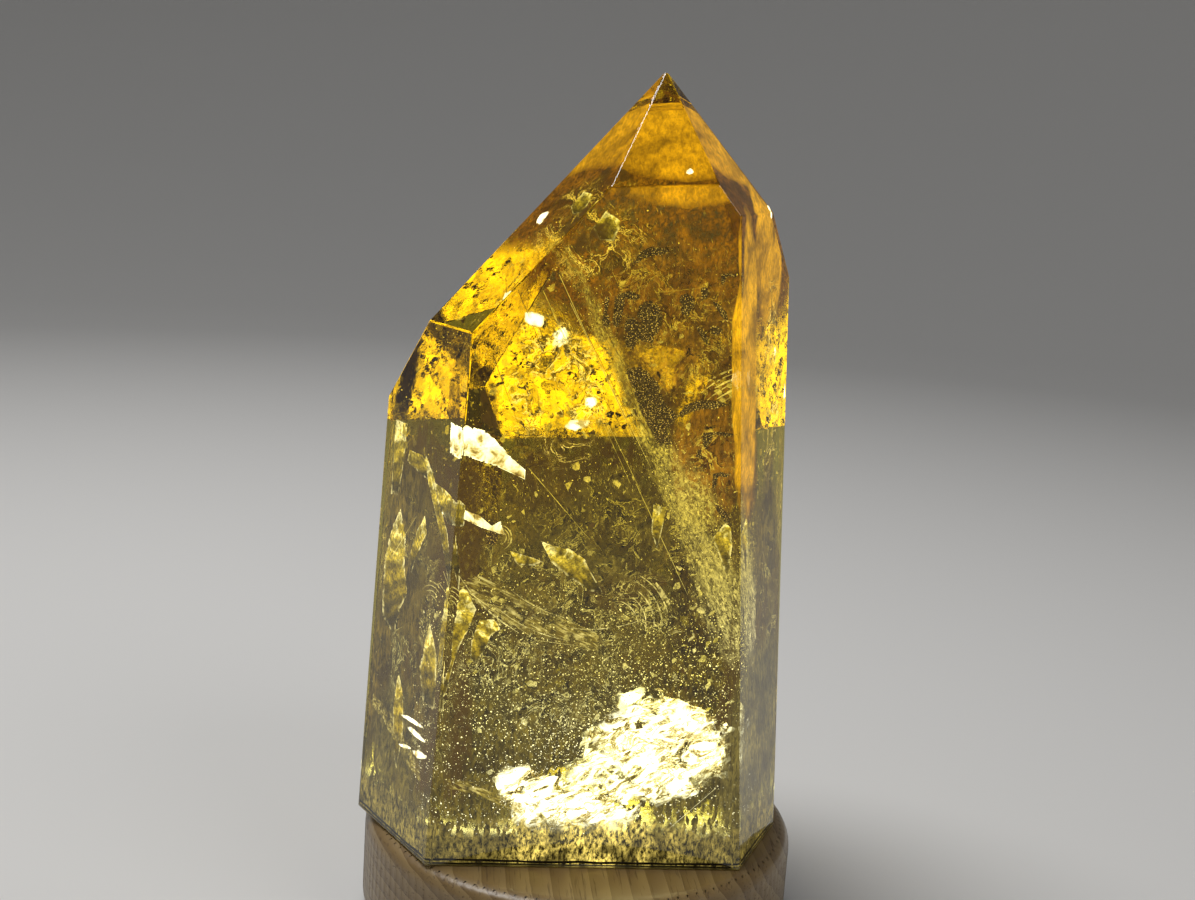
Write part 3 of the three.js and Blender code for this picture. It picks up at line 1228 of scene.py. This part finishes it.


# patchy sheets of painted shade, put where the stone looks dark against the light
shades = (
    ((6.8, -14, 125), (24, 11), (-58, 0, 0)), ((12, -13, 116), (18, 8), (-60, 0, 10)),
    ((-8, -19.5, 158.6), (11, 4.4), (38, 0, 0)), ((-2.2, -15.5, 169), (3.4, 3.2), (10, 0, 0)),
    ((19, -13, 140), (11, 20), (0, 0, 8)), ((2, -14, 139), (7, 13), (0, 0, 0)),
    ((-24, -13, 44), (20, 26), (0, 0, -6)), ((-33, -14, 62), (16, 30), (0, 0, -50)),
    ((-27, -12, 122), (5, 12), (10, 0, -30)), ((0, 0, 102), (50, 34), (-12, 0, 6)),
    ((4, -12, 83), (20, 12), (10, 0, 0)), ((30, 0, 96), (10, 36), (0, 0, 60)),
    ((-34.2, -8, 92), (30, 54), (0, 0, -62)), ((-36, -7, 48), (36, 50), (0, 0, -62)),
    ((34, -4, 62), (30, 70), (0, 0, 62)),
)


def buildShades():
    pieces = [
        addLens(f"shade{number}", place, (width, height, 0.15), turn, 16, height * 0.25, 1.6, grain=5)
        for number, (place, (width, height), turn) in enumerate(shades)
    ]
    material = shadeMaterial(
        "paintedShade", (0.035, 0.02, 0.004), 0.62, 1.6, solid=0.8, contrast=0.3, stretch=(1, 1, 0.45),
    )
    finishPiece(joinPieces(pieces, "paintedShades"), material)


# jagged sheets of painted shade, some of them peppered with points of painted glint: a few torn
# shapes, drawn on a square of side 2, are placed at many sizes
shadeShapes = {
    "claw": ((-0.6, 1), (0.5, 0.8), (0.2, 0), (1, -0.6), (0.2, -1), (-1, -0.5), (-0.6, 0.3)),
    "arch": (
        (-1, -0.9), (-0.7, 0.4), (-0.1, 1), (0.6, 1), (1, 0.6), (0.5, 0.1), (0, 0), (-0.5, -0.4),
        (-0.8, -1),
    ),
    "hook": ((-1, 0.8), (0, 1), (1, 0.8), (0.7, 0.5), (-0.3, 0.6), (-0.5, -0.2), (-0.8, -1), (-1, -0.3)),
    "patch": ((-0.8, 0.8), (0, 1), (0.9, 0.6), (1, -0.1), (0.3, -1), (-0.8, -0.8), (-0.6, 0), (-1, 0.2)),
    "wedge": (
        (-1, 0.9), (-0.4, 1), (0.2, 0.6), (0.5, 0.1), (1, -0.2), (0.6, -0.6), (0.9, -0.9), (0.4, -1),
        (-0.3, -0.2),
    ),
    "fang": ((-1, 1), (-0.3, 0.7), (0.7, 0), (1, -1), (0.3, -0.6), (-0.5, 0.3)),
}
shadeSpots = (
    ("arch", (4, -26, 156), (3.6, 1.8)), ("claw", (-4.5, -26, 144), (0.9, 3.6)),
    ("claw", (-2.5, -26, 144), (0.8, 3.5)), ("hook", (0, -26, 144.5), (2.4, 4.2)),
    ("patch", (1, -26, 140), (1.8, 3.4)), ("patch", (4.5, -25.5, 142.5), (2.8, 4.6)),
    ("patch", (12, -26, 146.5), (1.7, 2.4)), ("patch", (15.5, -26, 149), (0.9, 1.3)),
    ("fang", (19, -26, 145.5), (2, 2.3)), ("hook", (20.5, -26, 152), (1.8, 1.4)),
    ("fang", (15.5, -26, 140.5), (1.6, 2.2)), ("patch", (18.5, -26, 141.5), (1.4, 0.9)),
    ("wedge", (6, -26.5, 125), (6, 8.4)), ("arch", (17, -26.5, 125), (5.4, 2)),
    ("hook", (21, -27, 118.5), (3.6, 2)), ("claw", (17, -27, 115.5), (0.8, 1.1)),
    ("hook", (22, -26.5, 109.5), (1.8, 2.4)), ("fang", (23, -26.5, 102.5), (2.4, 2.8)),
    ("patch", (-25.5, -26.5, 95.5), (1.4, 1.6)),
)


def speckledShadeMaterial():
    material, tree = newMaterial("speckledShade")
    # painted glints: fine bright points in the painted shade
    points = remap(tree, addNoise(tree, 0.24 * mm, detail=1, rough=0.5), 0.61, 0.67)
    mottle = addNoise(tree, 1.6 * mm, detail=6, rough=0.7, distortion=0.8)
    shadeTone = multiplyColor(tree, (0.045, 0.026, 0.003, 1), remap(tree, mottle, 0.4, 0.6, 0.3, 1.8))
    return setFilm(
        material, mixColor(tree, points, shadeTone, (1, 0.66, 0.1, 1)),
        times(tree, tornEdge(tree, 0.7), remap(tree, mottle, 0.38, 0.5, 0.45, 0.95)),
    )


def buildSpeckledShades():
    pieces = []
    for number, (shape, place, (halfWidth, halfHeight)) in enumerate(shadeSpots):
        outline = [(across * halfWidth, up * halfHeight) for across, up in shadeShapes[shape]]
        pieces.append(addFlake(f"{shape}{number}", place, outline, ripple=0.8, grain=2, cuts=3))
    finishPiece(joinPieces(pieces, "speckledShades"), speckledShadeMaterial())


# wide, faint swaths of healed crack slant down behind the lower left of the front and the left face; their
# gold streaks and glints are painted light
swaths = {
    "sheets": (
        (
            "swath", (-17, -26, 79.5), 0,
            (
                (-15.5, 6), (-11, 8), (-4.5, 5), (4, 0.5), (15.5, -4), (15.5, -8), (7.5, -6.5),
                (-0.5, -4.5), (-12, 2.5),
            ),
        ),
        (
            "cornerSwath", (-20, -28.5, 38), 0,
            ((-12, 5), (-6, 4), (4, -0.5), (13, -5.5), (12, -7), (4, -3), (-5, 1), (-12, 2.5)),
        ),
        (
            "sideSwath", (-42.5, -15.5, 46), leftYaw,
            ((-13, 6), (-4, 4.5), (5, 0.5), (12, -3), (12, -6), (3, -3), (-7, 1.5), (-13, 3)),
        ),
    ),
    "lean": (0, math.radians(-67), 0), "color": (0.5, 0.36, 0.028), "glint": (1, 0.84, 0.3),
}


def swathMaterial():
    material, tree = newMaterial("slantingSwath")
    streaks = leaningNoise(tree, 0.6 * mm, (1, 1, 5), swaths["lean"], detail=6, rough=0.72)
    patches = addNoise(tree, 3 * mm, detail=4)
    color = colorRamp(tree, streaks, (
        (0.38, (0.06, 0.04, 0.003)), (0.52, swaths["color"]), (0.66, swaths["glint"]),
    ))
    cover = times(tree, remap(tree, streaks, 0.44, 0.62, 0.04, 0.6), remap(tree, patches, 0.38, 0.56, 0, 1))
    return setFilm(material, color, times(tree, tornEdge(tree, 1.6), cover))


def buildSwaths():
    pieces = [
        addFlake(name, place, outline, (0, 0, yaw), ripple=1)
        for name, place, yaw, outline in swaths["sheets"]
    ]
    finishPiece(joinPieces(pieces, "slantingSwaths"), swathMaterial())


# fine straight needles, each from one end to the other; the gold ones glow with painted light, the dark ones
# are painted shade
needles = {
    "gold": (
        ((-17.3, -16, 147), (3.8, -16, 107)), ((-10, -15, 134), (6.4, -15, 105)),
        ((-18, -14, 109), (-4, -14, 94)), ((5, -16, 107), (18, -17, 83)),
        ((7, -7.5, 147.4), (17, -7.5, 149)), ((-31, -18, 83), (-14, -20.5, 72)),
        ((-14, -19, 72), (-4, -19, 71)), ((14, -22, 27), (27, -22, 40)), ((-14.6, -25, 151), (3, -26, 118)),
        ((-12, -25, 145.4), (7, -26.4, 112)), ((-15.4, -25, 143), (-2, -26, 119)),
        ((-45, -4, 84), (-40, -13, 96)),
    ),
    "dark": (
        ((-7, -15, 145), (13, -16, 112)), ((-22.6, -18, 147), (-13, -18, 127)),
        ((-27, -18, 133), (-21, -18, 119)), ((-12, -16, 138), (8, -16, 109)),
        ((-13.6, -25, 148.6), (5, -26.2, 115)), ((-10.4, -25, 143), (9, -26.4, 110)),
    ),
    "width": 0.16,
}


def buildNeedles():
    for kind, material in (
        ("gold", litMaterial("goldNeedle", 2.07, 0.7, 1.5, solid=0.9, contrast=0.4)),
        ("dark", shadeMaterial("darkNeedle", (0.03, 0.015, 0.003), 1, 3, solid=1, contrast=0.4)),
    ):
        pieces = [
            addNeedle(f"{kind}Needle{number}", start, end, needles["width"])
            for number, (start, end) in enumerate(needles[kind])
        ]
        finishPiece(joinPieces(pieces, kind + "Needles"), material)


buildRootFloor()
buildGrains()
buildCurtains()
buildSkirt()
buildBloom()
print("root ready")
buildVeil()
buildSwarms()
buildRain()
buildFans()
buildCracks()
buildChips()
print("veil, bubbles and chips ready")
buildFlashes()
buildGoldFlakes()
buildShades()
buildSpeckledShades()
buildSwaths()
buildNeedles()
print("flakes, shades and needles ready")


# the stand's lit window

windowLow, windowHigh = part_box("light_window")


def windowMaterial():
    material, tree = newMaterial("litWindow")
    opal = remap(tree, addNoise(tree, 2 * mm, detail=4), 0.35, 0.65, 0.9, 1.1)
    heat = times(tree, remap(tree, fromMiddle(tree), 0, windowHigh.x, 1, 0.35), opal)
    return setSurface(material, {
        "Base Color": (0.9, 0.9, 0.85, 1), "Emission Color": multiplyColor(tree, (1, 0.97, 0.88, 1), heat),
        "Emission Strength": 1.6,
    })


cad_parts["light_window"].data.materials.clear()
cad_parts["light_window"].data.materials.append(windowMaterial())


# the wooden stand: a turned disc with its grain running front to back

wood = {
    "edgeRound": 4 * mm, "footChamfer": 1 * mm, "pocketGap": 0.3 * mm, "segments": 128,
    "heart": (0.075, 0, 0.05), "pale": (0.35, 0.245, 0.11), "warm": (0.26, 0.17, 0.07),
    "dark": (0.16, 0.097, 0.037), "pore": (0.07, 0.035, 0.015, 1),
}


def woodMaterial():
    material, tree = newMaterial("turnedWood")
    drift = addNoise(tree, 26 * mm, detail=3, stretch=(1, 0.12, 1))
    heart = vectorCalc(tree, "ADD", objectPattern(tree, (1, 0.05, 1)), wood["heart"])
    rings = addNode(tree, "ShaderNodeTexWave", {
        "Vector": heart.outputs[0], "Scale": 105, "Distortion": 2.5, "Detail": 3, "Detail Scale": 1.4,
    }, wave_type="RINGS", rings_direction="Y", wave_profile="SAW").outputs["Fac"]
    figure = addNode(tree, "ShaderNodeMix", {0: 0.45, 2: drift, 3: rings}, data_type="FLOAT").outputs[0]
    color = colorRamp(tree, figure, ((0.15, wood["dark"]), (0.5, wood["warm"]), (0.85, wood["pale"])))
    pores = remap(tree, addNoise(tree, 0.55 * mm, detail=2, stretch=(1, 0.05, 1)), 0.58, 0.7)
    return setSurface(material, {
        "Base Color": mixColor(tree, times(tree, pores, 0.55), color, wood["pore"]),
        "Roughness": remap(tree, pores, 0, 1, 0.36, 0.6), "Coat Weight": 0.25, "Coat Roughness": 0.25,
        "Normal": bump(tree, pores, 0.25, -0.08 * mm),
    })


def buildStand():
    low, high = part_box("stand_base")
    radius = (high.x - low.x) / 2
    pocket = (windowHigh.x - windowLow.x) / 2 + wood["pocketGap"]
    deselectAll()
    bpy.ops.mesh.primitive_cylinder_add(
        vertices=wood["segments"], radius=radius, depth=high.z - low.z, location=(0, 0, (low.z + high.z) / 2))
    piece = bpy.context.object
    piece.name = "woodStand"
    settle(piece)
    for edge in piece.data.edges:
        edge.select = all(piece.data.vertices[v].co.z > high.z - 0.1 * mm for v in edge.vertices)
    bpy.ops.object.mode_set(mode="EDIT")
    bpy.ops.mesh.select_mode(type="EDGE")
    bpy.ops.mesh.bevel(offset=wood["edgeRound"], segments=8, affect="EDGES")
    bpy.ops.object.mode_set(mode="OBJECT")
    for polygon in piece.data.polygons:
        polygon.select = False
    for edge in piece.data.edges:
        edge.select = all(piece.data.vertices[v].co.z < low.z + 0.1 * mm for v in edge.vertices)
    bpy.ops.object.mode_set(mode="EDIT")
    bpy.ops.mesh.bevel(offset=wood["footChamfer"], segments=2, affect="EDGES")
    bpy.ops.mesh.select_mode(type="FACE")
    bpy.ops.object.mode_set(mode="OBJECT")
    for polygon in piece.data.polygons:
        polygon.select = polygon.normal.z > 0.99 and len(polygon.vertices) > 8
    bpy.ops.object.mode_set(mode="EDIT")
    bpy.ops.mesh.inset(thickness=radius - wood["edgeRound"] - pocket)
    depth = high.z - windowLow.z + wood["pocketGap"]
    bpy.ops.mesh.extrude_region_move(TRANSFORM_OT_translate={"value": (0, 0, -depth)})
    bpy.ops.object.mode_set(mode="OBJECT")
    makeActive(piece)
    bpy.ops.object.shade_smooth_by_angle(angle=math.radians(35))
    finishPiece(piece, woodMaterial())
    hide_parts("stand_base")


buildStand()
print("stand ready")
